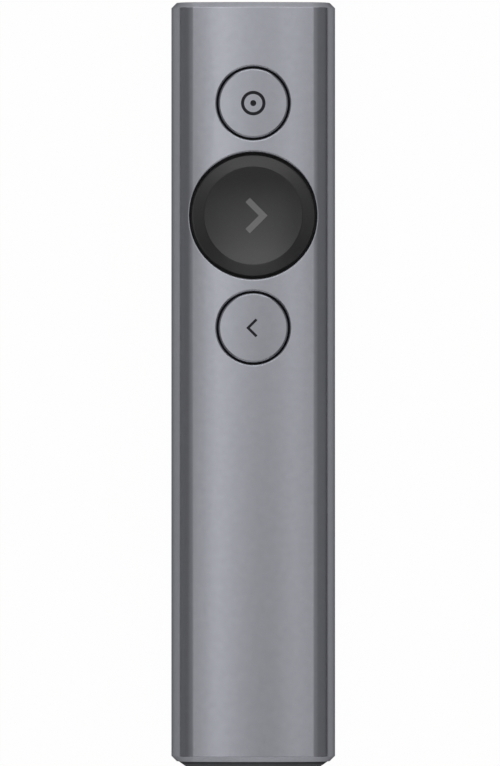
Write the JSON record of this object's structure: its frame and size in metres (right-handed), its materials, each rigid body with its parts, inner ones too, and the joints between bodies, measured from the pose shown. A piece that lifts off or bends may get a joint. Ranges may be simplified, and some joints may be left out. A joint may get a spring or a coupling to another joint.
{
  "type": "wireless presentation clicker",
  "caption": "Slim metal handheld remote for changing slides: round pointer, next and back buttons, plug-in radio receiver stowed in the tail.",
  "frame": {"origin": "centre of the flat back that it lies on", "axes": "+Z out of the button face, +Y along the body towards the nose and the pointer button, +X to the right"},
  "size_m": [0.0282, 0.1316, 0.0121],
  "materials": {
    "body_metal": "cool grey satin anodised, very fine blast",
    "key_metal": "cool grey satin anodised, as the tube",
    "dark_key": "dark grey soft satin",
    "end_plastic": "dark grey fine spark texture",
    "receiver_plastic": "near-black satin",
    "carrier_plastic": "dark grey moulded",
    "screw_steel": "plated",
    "circuit_board": "green solder mask",
    "chip_black": "moulded black",
    "antenna_ceramic": "white ceramic",
    "lamp": "clear lamp body",
    "clear_pipe": "clear moulded",
    "cell_pouch": "silvery pouch",
    "pad_foam": "sticky foam",
    "switch_plastic": "moulded black",
    "stem_plastic": "natural moulded",
    "plug_steel": "nickel-plated folded steel",
    "insert_plastic": "black moulded",
    "contact_gold": "gold flash"
  },
  "bodies": {
    "handset": {"tube_shell": "body_metal", "nose_cap": "end_plastic", "tail_cap": "end_plastic", "tray": "carrier_plastic", "button_deck": "carrier_plastic", "deck_screws": "screw_steel", "main_board": "circuit_board", "control_chips": "chip_black", "chip_antenna": "antenna_ceramic", "status_led": "lamp", "light_pipe": "clear_pipe", "battery": "cell_pouch", "battery_pad": "pad_foam", "pointer_switch": "switch_plastic", "next_switch": "switch_plastic", "back_switch": "switch_plastic", "charge_socket_shell": "plug_steel", "charge_socket_tongue": "insert_plastic"},
    "pointer_key": {"pointer_button": "key_metal"},
    "pointer_plunger": {"pointer_switch_stem": "stem_plastic"},
    "next_key": {"next_button": "dark_key"},
    "next_plunger": {"next_switch_stem": "stem_plastic"},
    "back_key": {"back_button": "key_metal"},
    "back_plunger": {"back_switch_stem": "stem_plastic"},
    "receiver": {"receiver_head": "receiver_plastic", "receiver_plug_shell": "plug_steel", "receiver_insert": "insert_plastic", "receiver_contacts": "contact_gold", "receiver_board": "circuit_board"}
  },
  "joints": [
    {"name": "pointer_press", "type": "slide", "parent": "handset", "child": "pointer_key", "axis": [0, 0, -1], "range_m": [0, 0.0004], "stiffness_N_per_m": 3000, "springref_m": -0.0002},
    {"name": "pointer_stem_travel", "type": "slide", "parent": "handset", "child": "pointer_plunger", "axis": [0, 0, -1], "range_m": [0, 0.0004]},
    {"name": "next_press", "type": "slide", "parent": "handset", "child": "next_key", "axis": [0, 0, -1], "range_m": [0, 0.0004], "stiffness_N_per_m": 3600, "springref_m": -0.0002},
    {"name": "next_stem_travel", "type": "slide", "parent": "handset", "child": "next_plunger", "axis": [0, 0, -1], "range_m": [0, 0.0004]},
    {"name": "back_press", "type": "slide", "parent": "handset", "child": "back_key", "axis": [0, 0, -1], "range_m": [0, 0.0004], "stiffness_N_per_m": 3000, "springref_m": -0.0002},
    {"name": "back_stem_travel", "type": "slide", "parent": "handset", "child": "back_plunger", "axis": [0, 0, -1], "range_m": [0, 0.0004]},
    {"name": "receiver_pull", "type": "slide", "parent": "handset", "child": "receiver", "axis": [0, -1, 0], "range_m": [0, 0.025]}
  ],
  "couplings": [
    {"joint": "pointer_stem_travel", "follows": "pointer_press", "ratio": 1},
    {"joint": "next_stem_travel", "follows": "next_press", "ratio": 1},
    {"joint": "back_stem_travel", "follows": "back_press", "ratio": 1}
  ]
}
